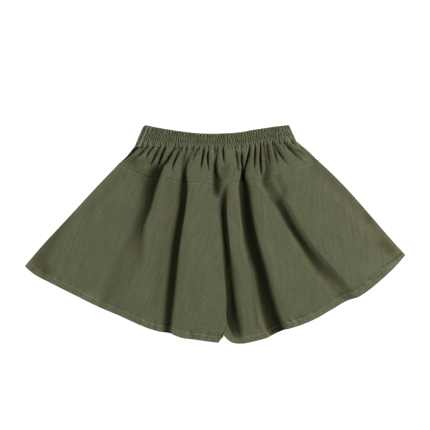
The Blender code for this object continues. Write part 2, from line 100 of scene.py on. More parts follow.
# The large folds, from the waist down: the middle of the floor at x, y, the share of the flute's
# height that the fold takes, half the floor's width, how far out its lips are, and how far each lip
# leans over the floor.
FOLD = ("x", "y", "depth", "floor", "left", "right", "lean_left", "lean_right")
FOLDS = {
    "outer_left": [
        (-70, 118, 0.00, 0.8, 6, 4, 0, 0),
        (-77, 110, 0.16, 1.6, 9, 5, 0, 0.6),
        (-82.5, 103, 0.74, 3.2, 13, 7, 0, 1.2),
        (-86.6, 96, 0.97, 5.0, 17, 10.5, 0, 1.6),
        (-90, 86, 1.00, 5.0, 20, 11.8, 0, 1.6),
        (-94, 74, 1.00, 4.8, 22, 12.5, 0, 1.8),
        (-99, 43, 0.82, 2.4, 25, 8.2, 0, 1.8),
        (-110.5, 13, 0.66, 2.6, 20, 9.5, 0, 1.0),
        (-116, -16, 0.45, 2.4, 22, 13, 0, 0.2),
        (-126, -48, 0.22, 2.0, 26, 20, 0, 0),
        (-158, -100, 0.12, 2.0, 26, 24, 0, 0),
    ],
    "inner_left": [
        (-39, 122, 0.15, 0.5, 4, 4, 0, 0),
        (-44.6, 99, 0.66, 1.3, 6.5, 4.6, 0, 0.8),
        (-44.9, 88, 0.84, 1.6, 10, 5.2, 0, 1.2),
        (-45.6, 74, 0.94, 2.8, 15, 8.2, 0, 1.4),
        (-47.2, 43, 0.94, 2.6, 16.4, 6.4, 0, 1.6),
        (-52.3, 13, 0.94, 2.8, 16.9, 7.3, 0, 1.6),
        (-57.3, -16, 0.94, 3.0, 16.7, 8.5, 0, 1.6),
        (-61.9, -53, 0.94, 3.0, 15.9, 10.1, 0, 1.4),
        (-66.5, -95, 0.93, 3.0, 15.5, 10.7, 0, 1.2),
        (-70.4, -136, 0.85, 2.6, 14.4, 9.6, 0, 1.0),
        (-71.6, -150, 0.82, 2.6, 13.4, 9.8, 0, 0.8),
    ],
    "centre": [
        (4, 120, 0.20, 0.5, 3, 3, 0, 0),
        (1.2, 108, 0.55, 1.0, 6, 4, 0, 0.5),
        (0.6, 90, 0.94, 1.6, 8, 8, 0.6, 0),
        (1.4, 74, 0.96, 2.0, 10, 14, 0.6, 0),
        (1.8, 64, 0.88, 1.9, 10, 10, 0.4, 0),
        (3, 50, 0.00, 1.0, 7, 7, 0, 0),
    ],
    "crotch": [
        (17, 76, 0.00, 0.5, 6, 4, 0, 0),
        (16, 60, 0.75, 0.8, 15, 5, 0, 0.8),
        (15.2, 43, 0.93, 1.2, 16, 3.4, 0, 1.2),
        (16.2, 13, 0.95, 1.2, 15.2, 3.4, 0, 1.2),
        (17.6, -16, 0.96, 1.6, 14.4, 4.6, 0, 1.0),
        (18.6, -53, 0.96, 3.0, 10.5, 12, 0, 0),
        (20.4, -95, 0.96, 4.2, 4.4, 16, 0.6, 0),
        (26.4, -134, 0.97, 6.6, 9.4, 15, 0.6, 0),
        (31, -146, 0.80, 5.6, 10, 12, 0, 0),
        (35, -158, 0.15, 3.0, 9, 9, 0, 0),
    ],
    "inner_right": [
        (44, 112, 0.00, 0.5, 4, 4, 0, 0),
        (43, 104, 0.30, 1.0, 4, 6, 0.4, 0),
        (41.4, 97, 0.72, 1.4, 5, 6.6, 1.2, 0),
        (40.6, 88, 0.84, 2.0, 6.0, 7.8, 2.0, 0),
        (40.4, 74, 0.97, 4.6, 8.4, 14.2, 2.6, 0),
        (45, 43, 1.00, 5.6, 13, 12.6, 2.6, 0),
        (50, 13, 1.00, 6.4, 15.8, 11.8, 2.6, 0),
        (57, -16, 1.00, 6.0, 21.5, 11.0, 2.4, 0),
        (67.4, -53, 1.00, 4.8, 20.5, 12.3, 2.4, 0),
        (76.6, -95, 1.00, 6.0, 22.5, 14, 2.4, 0),
        (87.4, -134, 0.96, 8.0, 21, 16.2, 2.4, 0),
        (91, -143, 0.97, 8.2, 20, 17.0, 2.6, 0),
        (96, -151, 0.96, 8.6, 17, 20, 2.6, 0),
    ],
    "outer_right": [
        (77, 112, 0.22, 1.0, 5, 6, 0, 0),
        (77.2, 99, 0.56, 1.4, 5.5, 8.5, 0, 0),
        (76.5, 74, 0.74, 2.0, 11, 13, 0, 0),
        (86, 58, 0.60, 2.2, 12, 13, 0, 0),
        (97.8, 43, 0.92, 2.2, 12, 12, 0, 0),
        (114.3, 13, 0.98, 2.4, 11, 11.5, 0, 0),
        (133.6, -16, 0.96, 2.4, 11.5, 11.5, 0, 0),
        (160, -53, 0.84, 2.4, 16.5, 15.5, 0, 0),
        (184, -80, 0.54, 2.0, 18, 16, 0, 0),
        (202, -104, 0.35, 2.0, 20, 16, 0, 0),
    ],
}
# Painted shade in the depth of each fold, on its left and on its right, and a painted highlight
# along the edge of each lip.
PAINTED_FOLD_SHADE = {
    "outer_left": (1.1, 2.3, 0.0, 0.10),
    "inner_left": (1.0, 2.3, 0.0, 0.15),
    "centre": (1.2, 1.7, 0.0, 0.0),
    "crotch": (1.2, 1.6, 0.0, 0.15),
    "inner_right": (0.70, 3.2, 0.35, 0.0),
    "outer_right": (1.6, 1.0, 0.0, 0.0),
}
# Where those painted highlights are, as a share of the way out to the lip, and how wide.
HIGHLIGHT_PLACE, HIGHLIGHT_WIDTH = 0.86, 1.1
# The part of a fold's depth that a soft shoulder past its lip takes, and how many walls wide it is.
SHOULDER, SHOULDER_WIDTH = 0.1, 3.5
# A lip's lean fades over this share of its wall inwards, and this many walls outwards.
LEAN_IN, LEAN_OUT = 0.9, 3
# Broad soft troughs between the folds: the line each follows, half its width, its depth, and the
# painted shade over it, a painted highlight where it is negative. A negative depth is a swell.
TROUGH = ("line", "width", "depth", "painted_shade")
TROUGHS = [
    ([(-130, 113), (-118, 101), (-108, 88)], 16, 1.2, 0.55),
    ([(-124, 111), (-100, 108)], 9, 0.4, 0.50),
    ([(-146, 82), (-168, 55), (-198, 29)], 13, 0.9, 0.22),
    ([(-129, 123), (-139, 112.5), (-151, 100), (-163, 88)], 6, 0.0, -0.42),
    ([(-141, 92), (-134, 84)], 9, 0.3, 0.30),
    ([(-66, 78), (-71, 13), (-80, -40), (-88, -104)], 12, 1.2, 0.32),
    ([(-124, -4), (-137, -29), (-148, -58), (-165, -100)], 12, 1.0, 0.32),
    ([(-222, 26), (-247, -12), (-262, -40), (-252, -56)], 17, 1.0, 0.85),
    ([(-34, -80), (-30, -112)], 14, 0.8, 0.20),
    ([(5, -50), (8.5, -68)], 5, 0.3, 0.30),
    ([(-36, -145), (-30.5, -158)], 4.0, 0.6, 0.80),
    ([(-196, -90), (-178, -97)], 12, -0.6, -0.35),
    ([(14, 98), (8, 82)], 8, 1.6, 0.45),
    ([(49, -34), (52, -60), (56.5, -98), (60, -138)], 6.0, 0.9, 0.60),
    ([(93, 84), (102, 66), (98, 50)], 10, 1.3, 0.54),
    ([(103, 71), (101.5, 60)], 7, 0.4, 0.40),
    ([(232, 22), (262, -20)], 15, 0.8, 0.55),
    ([(248, -14), (268, -30)], 15, 0.2, 0.62),
    ([(256, -44), (268, -37), (278, -28)], 3.6, 0.2, 0.80),
    ([(279, -31), (284, -26)], 6, 0.0, 0.55),
    ([(196, -84), (200, -99)], 6, 0.8, 0.40),
    ([(205, -52), (262, -48)], 24, -0.5, -0.20),
    ([(127, 131), (138, 121.5), (150, 110)], 2.8, 0.9, 0.90),
    ([(122, 104), (137, 106)], 10, -0.5, -0.55),
    ([(150, 106), (192, 66), (230, 25)], 17, 0.0, 0.72),
    ([(64, 84), (68, 73), (77, 60)], 5, -0.3, -0.40),
    ([(81, -20), (88, -50), (95, -76)], 9, -0.3, -0.35),
]
LEG_FOLDS = {
    "left": ["outer_left", "inner_left", "crotch"],
    "right": ["crotch", "inner_right", "outer_right"],
}
# Columns of each flute, wall and floor, and rows down the panel.
FLUTE_COLUMNS = {"left": [44, 20, 26, 6], "right": [4, 18, 34, 46]}
LIP_COLUMNS, FLOOR_COLUMNS = 13, 4
LEG_ROWS = 114
# A wall's columns reach this many times as far out as its lip. The folds are found by this many
# steps across a row, and no column is narrower than this share of it.
PAST_LIP, SEARCH_STEPS, LEAST_COLUMN = 1.3, 801, 0.0008
# A leg's length, and the rows close together under the yoke seam and over the hem.
LEG_LENGTH, SEAM_BAND, SEAM_ROWS, HEM_BAND, HEM_ROWS = 245, 3.2, 6, 14.0, 24
# Width over which the front comes down to the back along its sides, at the waist, the yoke seam and
# below, and the width and height of the turn at its very edge.
SIDE_ROLL_DOWN, SIDE_ROLL = [0, 1, 1.3], [9.0, 16.0, 28.0]
EDGE_TURN, EDGE_HEIGHT = 2.5, 1.2
SEAM_DIP, SEAM_WIDTH = 0.6, 0.9
# Where the left leg's inseam turns down into the middle fold: over this width, to this height.
INSEAM_TURN, INSEAM_HEIGHT = 2.4, 4.6
# How far the hem's puckers are apart, how much they slant, the width of its fold's step, and the
# seeds of its unevenness.
PUCKER_PITCH, PUCKER_SLANT, HEM_STEP = 4.6, 0.6, 0.8
HEM_SEEDS = {"left": 6, "right": 5}
# How far the seam's allowance reaches under the yoke.
LEG_TUCK = 1.4


def falling(out):
    """1 in the middle of a form, falling softly to 0 at its edge, where out is 1."""
    return 0.5 + 0.5 * np.cos(np.pi * np.clip(out, 0, 1))


def ridge_at(distance, place, width):
    """A rounded ridge, 1 high, at a place along a distance."""
    return np.exp(-(((distance - place) / width) ** 2))


def eased(share):
    """A share from 0 to 1 with a soft start and end."""
    return share * share * (3 - 2 * share)


def turned_down(share):
    """How far a rounded edge has dropped, from 0 to 1, where share is 1 at its very edge."""
    return 1 - np.sqrt(1 - share**2)


def curve_at(points, share):
    """Points at these shares of the length of a smooth curve through the points."""
    points = np.asarray(points, float)
    steps = np.linalg.norm(np.diff(points, axis=0), axis=1)
    knots = np.concatenate([[0], np.cumsum(steps)]) / steps.sum()
    return smooth_steps(share, knots, points)


def smooth_steps(at, knots, values):
    """Values between knots, with no kink at a knot."""
    knots, values = np.asarray(knots, float), np.asarray(values, float)
    slopes = np.gradient(values, knots, axis=0)
    at = np.clip(at, knots[0], knots[-1])
    i = np.clip(np.searchsorted(knots, at, side="right") - 1, 0, len(knots) - 2)
    span = knots[i + 1] - knots[i]
    u = (at - knots[i]) / span
    if values.ndim > 1:
        span, u = span[..., None], u[..., None]
    return (
        values[i] * (1 - u) ** 2 * (1 + 2 * u)
        + values[i + 1] * u**2 * (3 - 2 * u)
        + slopes[i] * span * u * (1 - u) ** 2
        - slopes[i + 1] * span * u**2 * (1 - u)
    )


def panel_point(top, bottom, left, right, across, down):
    """The point of a panel between its four edges, for shares across and down it."""
    s, t = across[..., None], down[..., None]
    corner = [np.asarray(p, float) for p in (top[0], top[-1], bottom[0], bottom[-1])]
    ruled = (1 - t) * curve_at(top, across) + t * curve_at(bottom, across)
    sides = (1 - s) * curve_at(left, down) + s * curve_at(right, down)
    flat = (1 - t) * ((1 - s) * corner[0] + s * corner[1]) + t * ((1 - s) * corner[2] + s * corner[3])
    return ruled + sides - flat


def leg_point(side, across, down):
    """The plan point of a leg: down is 0 at the yoke seam and 1 at the hem."""
    edges = (SIDE_SEAM[side], INSEAM[side])
    left, right = edges if side == "left" else edges[::-1]
    return panel_point(YOKE_SEAM[side], LEG_HEM[side], left, right, across, down)


def soft_noise(x, y, seed):
    """Smooth random relief from -1 to 1, about one swell to a unit."""
    size = 97
    lattice = np.random.default_rng(seed).uniform(-1, 1, (size, size))
    i, j = np.floor(x).astype(int), np.floor(y).astype(int)
    u, v = eased(x - i), eased(y - j)
    i, j, k, m = i % size, j % size, (i + 1) % size, (j + 1) % size
    near = lattice[i, j] * (1 - u) + lattice[k, j] * u
    far = lattice[i, m] * (1 - u) + lattice[k, m] * u
    return near * (1 - v) + far * v


def fold_section(name, y):
    """A fold's columns at these y, with the slant of its line there."""
    rows = np.array(FOLDS[name][::-1], float)
    found = {column: smooth_steps(y, rows[:, 1], rows[:, i]) for i, column in enumerate(FOLD)}
    found["slant"] = np.interp(y, rows[:, 1], np.gradient(rows[:, 0], rows[:, 1]))
    found["square"] = 1 / np.sqrt(1 + found["slant"] ** 2)
    return found


def fold_taken(at, x):
    """The share of a fold's depth at x, and how far the cloth there is pushed over the floor."""
    distance = (x - at["x"]) * at["square"]
    lip = np.maximum(np.where(distance < 0, at["left"], at["right"]) - at["floor"], 0.1)
    out = (np.abs(distance) - at["floor"]) / lip
    taken = (1 - SHOULDER) * falling(out) + SHOULDER * falling(out / SHOULDER_WIDTH)
    from_lip = np.where(out < 1, (1 - out) / LEAN_IN, (out - 1) / LEAN_OUT)
    lean = np.where(distance < 0, at["lean_left"], -at["lean_right"])
    return taken, falling(from_lip) * lean * np.clip(at["depth"], 0, 1)


def distance_to(points, line):
    """How far each plan point is from a line of points."""
    best = np.full(points.shape[:-1], np.inf)
    for a, b in zip(line[:-1], line[1:]):
        a, b = np.asarray(a, float), np.asarray(b, float)
        share = np.clip(((points - a) @ (b - a)) / ((b - a) @ (b - a)), 0, 1)
        best = np.minimum(best, np.linalg.norm(points - a - share[..., None] * (b - a), axis=-1))
    return best


def soft_troughs(plan):
    """How deep the broad troughs are over plan points, and the painted shade over them."""
    depth, painted_shade = np.zeros(plan.shape[:-1]), np.zeros(plan.shape[:-1])
    for row in TROUGHS:
        trough = dict(zip(TROUGH, row))
        near = falling(distance_to(plan, trough["line"]) / trough["width"])
        depth += trough["depth"] * near
        painted_shade += trough["painted_shade"] * near
    return depth, painted_shade


def front_surface(plan, down, gathers=1.0, left_side=YOKE_SIDE["left"]):
    """The outer face of the laid front over plan points: down is 0 at the waist and 2 at the hem."""
    keep, push = np.ones(plan.shape[:-1]) * gathers, np.zeros(plan.shape)
    for name in FOLDS:
        at = fold_section(name, plan[..., 1])
        taken, sideways = fold_taken(at, plan[..., 0])
        keep = keep * (1 - at["depth"] * taken)
        square_on = np.dstack([np.ones_like(at["slant"]), -at["slant"]])
        push += (sideways * at["square"])[..., None] * square_on
    left_edge = left_side + SIDE_SEAM["left"][1:]
    right_edge = YOKE_SIDE["right"] + SIDE_SEAM["right"][1:]
    from_side = np.minimum(distance_to(plan, left_edge), distance_to(plan, right_edge))
    roll = np.clip(from_side / np.interp(down, SIDE_ROLL_DOWN, SIDE_ROLL), 0, 1)
    keep = keep * (1 - (1 - roll) ** 2)
    height = LYING + (smooth_steps(down, FLUTE_DOWN, FLUTE_HEIGHT) - LYING) * keep
    for swell, across, along, seed in RELIEF:
        relief = swell * soft_noise(plan[..., 0] / across, plan[..., 1] / along, seed)
        height += (RELIEF_IN_FOLDS + (1 - RELIEF_IN_FOLDS) * keep) * relief
    height -= soft_troughs(plan)[0] * keep
    height -= (height - EDGE_HEIGHT) * turned_down(np.clip(1 - from_side / EDGE_TURN, 0, 1))
    return np.dstack([plan + push, height])


def folds_shade(plan):
    """Painted shade in the folds and painted highlights along their lips, for the colour attribute."""
    shade, lip_highlights = np.zeros(plan.shape[:-1]), np.zeros(plan.shape[:-1])
    for name, (on_left, on_right, left_highlight, right_highlight) in PAINTED_FOLD_SHADE.items():
        at = fold_section(name, plan[..., 1])
        distance = (plan[..., 0] - at["x"]) * at["square"]
        over = np.clip((distance + at["left"]) / (at["left"] + at["right"]), 0, 1)
        painted_shade = on_left + (on_right - on_left) * over
        shade = np.minimum(shade, -painted_shade * at["depth"] * fold_taken(at, plan[..., 0])[0])
        lip_highlights += left_highlight * at["depth"] * ridge_at(distance, -HIGHLIGHT_PLACE * at["left"], HIGHLIGHT_WIDTH)
        lip_highlights += right_highlight * at["depth"] * ridge_at(distance, HIGHLIGHT_PLACE * at["right"], HIGHLIGHT_WIDTH)
    return shade + lip_highlights - soft_troughs(plan)[1]


def grid_normals(grid):
    """Unit normals of a grid whose rows run down and whose columns run right, pointing up."""
    normal = np.cross(np.gradient(grid, axis=0), np.gradient(grid, axis=1))
    return normal / np.maximum(np.linalg.norm(normal, axis=-1, keepdims=True), 1e-9)


def lengths_along(grid, axis):
    """How far each point of a grid is along its row or column, over the cloth."""
    steps = np.linalg.norm(np.diff(grid, axis=axis), axis=-1)
    start = np.zeros_like(np.take(steps, [0], axis=axis))
    return np.concatenate([start, np.cumsum(steps, axis=axis)], axis=axis)


def lengths_down(grid):
    """How far each point is from the first row of a grid and from its last, over the cloth."""
    from_first = lengths_along(grid, 0)
    return from_first, from_first[-1:] - from_first


def woven(outer, plan, way=1):
    """Each point's place on the cloth, with its threads straight down the panel."""
    return np.dstack([lengths_along(outer, 1) + way * plan[:, :1, 0], plan[..., 1]])


def add_object(name, data):
    """A new object in the scene, with this mesh, light or camera."""
    made = bpy.data.objects.new(name, data)
    bpy.context.collection.objects.link(made)
    return made


def sewn_piece(name, outer, inner, weave, shade_and_wear, grain, material, edge_steps=3, inner_shade_and_wear=None):
    """A closed shell between an outer and an inner grid of points, rounded over at its last row.

    The weave holds each point's place on the cloth, and grain turns its threads, in degrees. The
    inner face carries the same painted shade and highlights as the outer unless its own are given.
    """
    columns = outer.shape[1]
    away = outer[-1] - outer[-2]
    away /= np.linalg.norm(away, axis=-1, keepdims=True)
    middle, half = (outer[-1] + inner[-1]) / 2, (outer[-1] - inner[-1]) / 2
    reach = away * np.linalg.norm(half, axis=-1, keepdims=True)
    turns = [np.pi * (k + 1) / (edge_steps + 1) for k in range(edge_steps)]
    edge = np.array([middle + half * np.cos(a) + reach * np.sin(a) for a in turns])
    ring = np.concatenate([outer, edge, inner[::-1]])
    angle = np.radians(grain)
    weave = weave @ np.array([[np.cos(angle), np.sin(angle)], [-np.sin(angle), np.cos(angle)]])
    weave = np.concatenate([weave, *[weave[-1:]] * edge_steps, weave[::-1]])
    inner_shade_and_wear = shade_and_wear if inner_shade_and_wear is None else inner_shade_and_wear
    shade_and_wear = np.concatenate([shade_and_wear, *[shade_and_wear[-1:]] * edge_steps, inner_shade_and_wear[::-1]])
    total = len(ring)
    index = np.arange(total * columns).reshape(total, columns)
    below = np.roll(index, -1, axis=0)
    corners = [index[:, :-1], below[:, :-1], below[:, 1:], index[:, 1:]]
    faces = np.stack(corners, axis=-1).reshape(-1, 4).tolist()
    # The two ends are closed by strips across the thickness.
    for top in range(total // 2):
        bottom = total - 1 - top
        ends = {0: (top, bottom, bottom - 1, top + 1), -1: (top, top + 1, bottom - 1, bottom)}
        for column, rows in ends.items():
            strip = list(dict.fromkeys(index[row, column] for row in rows))
            if len(strip) > 2:
                faces.append([int(corner) for corner in strip])
    mesh = bpy.data.meshes.new(name)
    mesh.from_pydata((ring.reshape(-1, 3) * MM).tolist(), [], faces)
    corner = np.empty(len(mesh.loops), np.int32)
    mesh.loops.foreach_get("vertex_index", corner)
    lie = mesh.uv_layers.new(name="weave")
    lie.uv.foreach_set("vector", (weave.reshape(-1, 2)[corner] * MM).astype(np.float32).ravel())
    # This attribute carries the painted shade in folds, creases, seams and ruffles, the painted
    # highlights, and the hem's paler marks.
    shade_attribute = mesh.attributes.new("shade_and_wear", "FLOAT", "POINT")
    shade_attribute.data.foreach_set("value", shade_and_wear.astype(np.float32).ravel())
    mesh.shade_smooth()
    mesh.materials.append(material)
    return add_object(name, mesh)


# The olive along the attribute: darkest in painted fold shade, then open cloth, palest in painted
# highlights.
OLIVE = {
    0.00: (0.0160, 0.0148, 0.0062, 1),
    0.25: (0.0635, 0.0646, 0.0320, 1),
    0.50: (0.1118, 0.1140, 0.0645, 1),
    0.85: (0.1700, 0.1740, 0.1060, 1),
    1.00: (0.2580, 0.2630, 0.1720, 1),
}
# The slubs, and the other patterns in the cloth: swells to a metre across and along the warp, the
# range of the noise, and how light the cloth is at each end of it.
SLUBS = ((900, 460, 1), (0.34, 0.68), (0.70, 1.25))
PATTERNS = [
    ((210, 760, 1), (0.36, 0.66), (0.94, 1.06)),
    ((42, 28, 1), (0.35, 0.68), (0.96, 1.03)),
    ((230, 24, 1), (0.35, 0.66), (0.92, 1.08)),
]
# In metres: from thread to thread, and how deep the threads and the slubs are in the bump.
THREAD_PITCH, THREAD_BUMP, SLUB_BUMP = 0.00055, 0.00005, 0.00020
LINEN_FINISH = {
    "Roughness": 0.92,
    "Specular IOR Level": 0.12,
    "Sheen Weight": 0.10,
    "Sheen Tint": (0.72, 0.74, 0.42, 1.0),
    "Sheen Roughness": 0.6,
}


def new_material(name, finish):
    """A material with these values on its shader, its node tree, and the shader."""
    material = bpy.data.materials.new(name)
    material.use_nodes = True
    shader = material.node_tree.nodes["Principled BSDF"]
    for socket, value in finish.items():
        shader.inputs[socket].default_value = value
    return material, material.node_tree, shader


def add_node(tree, kind, values=(), **settings):
    """A new node with these settings, and with its sockets set to values or joined to others."""
    made = tree.nodes.new(kind)
    for name, setting in settings.items():
        setattr(made, name, setting)
    for socket, value in values:
        if isinstance(value, bpy.types.NodeSocket):
            tree.links.new(value, made.inputs[socket])
        else:
            made.inputs[socket].default_value = value
    return made


def linen(name):
    """Washed plain-weave linen: crossed threads, slubs along the warp, soft mottling, and painted shade
    and highlights.
    """
    material, tree, shader = new_material(name, LINEN_FINISH)
    lie = add_node(tree, "ShaderNodeUVMap", uv_map="weave")

    def noise(scale, detail):
        """A pattern drawn out along the cloth: scale is how many swells go to a metre each way."""
        spread = add_node(tree, "ShaderNodeMapping", [("Vector", lie.outputs["UV"]), ("Scale", scale)])
        drawn = [("Vector", spread.outputs["Vector"]), ("Scale", 1.0), ("Detail", detail)]
        return add_node(tree, "ShaderNodeTexNoise", drawn).outputs["Fac"]

    def ranged(value, *limits):
        sockets = ("From Min", "From Max", "To Min", "To Max")
        values = [("Value", value), *zip(sockets, limits)]
        return add_node(tree, "ShaderNodeMapRange", values).outputs["Result"]

    def math(operation, *values):
        return add_node(tree, "ShaderNodeMath", enumerate(values), operation=operation).outputs[0]

    scale, limits, lightness = SLUBS
    slubs = noise(scale, 3)
    light = ranged(slubs, *limits, *lightness)
    for scale, limits, lightness in PATTERNS:
        light = math("MULTIPLY", light, ranged(noise(scale, 2), *limits, *lightness))
    # The attribute darkens the olive where shade is painted and lightens it where highlights are
    # painted.
    shade_attribute = add_node(tree, "ShaderNodeAttribute", attribute_name="shade_and_wear")
    shade_and_wear_share = ranged(shade_attribute.outputs["Fac"], -2.0, 2.0, 0.0, 1.0)
    olive_by_shade = add_node(tree, "ShaderNodeValToRGB", [("Fac", shade_and_wear_share)])
    while len(olive_by_shade.color_ramp.elements) < len(OLIVE):
        olive_by_shade.color_ramp.elements.new(0.5)
    for stop, (place, colour) in zip(olive_by_shade.color_ramp.elements, OLIVE.items()):
        stop.position, stop.color = place, colour
    lit = [("Vector", olive_by_shade.outputs["Color"]), ("Scale", light)]
    dye = add_node(tree, "ShaderNodeVectorMath", lit, operation="SCALE")
    tree.links.new(dye.outputs["Vector"], shader.inputs["Base Color"])

    split = add_node(tree, "ShaderNodeSeparateXYZ", [("Vector", lie.outputs["UV"])])
    waves = []
    for axis in ("X", "Y"):
        waves.append(math("SINE", math("MULTIPLY", split.outputs[axis], np.pi / THREAD_PITCH)))
    normal = None
    for height, depth in ((math("MULTIPLY", *waves), THREAD_BUMP), (slubs, SLUB_BUMP)):
        values = [("Strength", 0.6), ("Distance", depth), ("Height", height)]
        if normal:
            values.append(("Normal", normal))
        normal = add_node(tree, "ShaderNodeBump", values).outputs["Normal"]
    tree.links.new(normal, shader.inputs["Normal"])
    return material


linen_olive = linen("linen_olive")


def leg_columns(side, down):
    """Shares across each row of a leg: close together on the folds' walls, wider on the flutes."""
    fine = np.linspace(0, 1, SEARCH_STEPS)
    knots, counts = [np.zeros(len(down))], []
    plans = leg_point(side, np.tile(fine, (len(down), 1)), np.repeat(down[:, None], len(fine), 1))
    for flute, name in zip(FLUTE_COLUMNS[side], LEG_FOLDS[side]):
        at = fold_section(name, plans[..., 1])
        ends = [-at["left"] * PAST_LIP, -at["floor"], at["floor"], at["right"] * PAST_LIP]
        for end, count in zip(ends, [flute, LIP_COLUMNS, FLOOR_COLUMNS, LIP_COLUMNS]):
            away = plans[..., 0] - at["x"] - end / at["square"]
            knots.append(np.array([np.interp(0, row, fine) for row in away]))
            counts.append(count)
    knots.append(np.ones(len(down)))
    counts.append(FLUTE_COLUMNS[side][-1])
    for i in range(1, len(knots)):
        knots[i] = np.maximum(knots[i], knots[i - 1] + LEAST_COLUMN * counts[i - 1])
    knots[-1][:] = 1.0
    for i in range(len(knots) - 2, -1, -1):
        knots[i] = np.minimum(knots[i], knots[i + 1] - LEAST_COLUMN * counts[i])
    columns = [knots[0]]
    for a, b, count in zip(knots[:-1], knots[1:], counts):
        columns += [a + (b - a) * (k + 1) / count for k in range(count)]
    return np.stack(columns, axis=1)


def seam_line(distance, x):
    """Painted shade in a seam's crease, uneven along it, and a painted highlight on the cloth beside it.
    """
    firm = 0.5 + 0.5 * soft_noise(x / 9, x * 0, 61)
    return 0.3 * firm * ridge_at(distance, 2.4, 1.1) - 0.5 * firm * ridge_at(distance, 0, SEAM_WIDTH)


def turned_hem(outer, distance, seed):
    """The folded hem's step, its stitching's groove and puckers, and their painted shade and pale marks.
    """
    along = lengths_along(outer, 1)
    # The puckers slant across the hem, and come and go along it.
    tight = np.clip(0.45 + 0.75 * soft_noise(along / 30, distance * 0, seed + 2), 0, 1)
    slanted = (along + PUCKER_SLANT * distance) / PUCKER_PITCH
    pucker = tight * soft_noise(slanted, distance / 12, seed) * ridge_at(distance, HEM_STITCH, 7)
    folded = np.clip((HEM_WIDTH - distance) / HEM_STEP, 0, 1)
    rise = 1.1 * pucker - 0.35 * ridge_at(distance, HEM_STITCH, 0.8) + 0.65 * folded
    thick = LINEN + (HEM_LAYERS - LINEN) * folded
    # Paler along the fold's edge; a painted shadow just above it and painted shade below the stitching.
    edge = ridge_at(distance, HEM_WIDTH - 0.5, 0.9)
    above = ridge_at(distance, HEM_WIDTH + 1.4, 1.0)
    shade_in_hollow = ridge_at(distance, HEM_STITCH - 2.2, 1.3)
    edges = (0.6 + 0.4 * tight) * (0.78 * edge - 0.38 * above - 0.35 * shade_in_hollow)
    pale = 0.56 * folded * (0.75 + 0.5 * soft_noise(along / 14, distance / 4, seed + 1))
    # The puckers are painted darker in their dips and lighter on their rises.
    return rise, thick, pale + edges + 1.2 * pucker


def front_piece(name, plan, outer, thick, shade_and_wear, grain, tuck, height):
    """A shell of the front, with its seam's allowance as one more row, under the next piece."""
    inner = outer - grid_normals(outer) * thick
    inner[..., 2] = np.maximum(inner[..., 2], LOWEST)
    lifts = (np.maximum(height, LOWEST + 0.1), np.maximum(height - LINEN, LOWEST))
    grids = []
    for rows, lift in zip((outer, inner), lifts):
        allowance = rows[:1] + np.array([0, tuck, 0])
        allowance[..., 2] = lift
        grids.append(np.concatenate([allowance, rows]))
    for rows in (woven(outer, plan), shade_and_wear):
        grids.append(np.concatenate([rows[:1], rows]))
    return sewn_piece(name, *grids, grain, linen_olive)


def front_leg(side, grain):
    below_seam, above_hem = SEAM_BAND / LEG_LENGTH, 1 - HEM_BAND / LEG_LENGTH
    down = np.concatenate([
        np.linspace(0, below_seam, SEAM_ROWS),
        np.linspace(below_seam, above_hem, LEG_ROWS)[1:],
        np.linspace(above_hem, 1, HEM_ROWS)[1:],
    ])
    across = leg_columns(side, down)
    down = np.repeat(down[:, None], across.shape[1], 1)
    plan = leg_point(side, across, down)
    outer = front_surface(plan, 1 + down)
    if side == "left":
        turned = 1 - np.clip(distance_to(plan, INSEAM["left"][3:]) / INSEAM_TURN, 0, 1)
        outer[..., 2] -= np.maximum(outer[..., 2] - INSEAM_HEIGHT, 0) * turned_down(turned)
    from_seam, from_hem = lengths_down(outer)
    rise, thick, shade_and_wear = turned_hem(outer, from_hem, HEM_SEEDS[side])
    outer[..., 2] += rise - SEAM_DIP * ridge_at(from_seam, 0, SEAM_WIDTH)
    shade = folds_shade(plan)
    # The hem's pale marks and painted shade are fainter in the folds, and the folds' and seam's painted
    # shade is added.
    shade_and_wear = shade_and_wear * np.clip(1 + 0.45 * shade, 0.35, 1) + seam_line(from_seam, plan[..., 0]) + shade
    tuck = (LEG_TUCK, outer[:1, :, 2] - SEAM_DIP)
    piece = front_piece(f"front_leg_{side}", plan, outer, thick[..., None], shade_and_wear, grain, *tuck)
    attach(piece, "root")
    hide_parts(f"leg_front_{side}", f"hem_front_{side}")
    return outer, from_hem


front_left = front_leg("left", 18)
front_right = front_leg("right", -5)


# ---------------------------------------------------------------------------------------------
# Front yoke
# One shaped strip of the same linen between the band and the legs. The elastic gathers its top edge,
# so creases of uneven length run down from the band, and its lower corners lie in the large folds.

WAIST_SEAM = {
    "left": [(-121.5, 131), (-75, 131), (-42, 129), (3, 128.4)],
    "right": [(3, 128.4), (45, 129.2), (90, 135.7), (121.5, 140.2)],
}
# Its left side stands in a little from the back's, which shows past it.
FRONT_YOKE_SIDE = [(-113.5, 131), (-122.9, 121.5), (-133.8, 113.5), (-144.3, 106.2)]
# How far its allowance reaches under the band, and the highest that it lies there.
YOKE_TUCK, UNDER_BAND = 1.2, 3.0
# The yoke's depth, and where the creases' steep sides change from right to left.
YOKE_DEPTH, MIDDLE = 52, 20
YOKE_ROWS, YOKE_COLUMNS = 58, {"left": 190, "right": 186}
# Painted shade in a crease, and the share of it that adds to a fold's painted shade where both meet.
CREASE_SHADE, MEETING_SHADE = 1.25, 0.5
# From ruffle to ruffle under the band, and how far the cloth rises round each crease there.
RUFFLE_PITCH, CREASE_REACH = 4.3, 3.2
# The share of each crease that is a wider and softer hollow, and how much wider it is.
SOFT_SHARE, SOFT_WIDTH = 0.32, 2.5

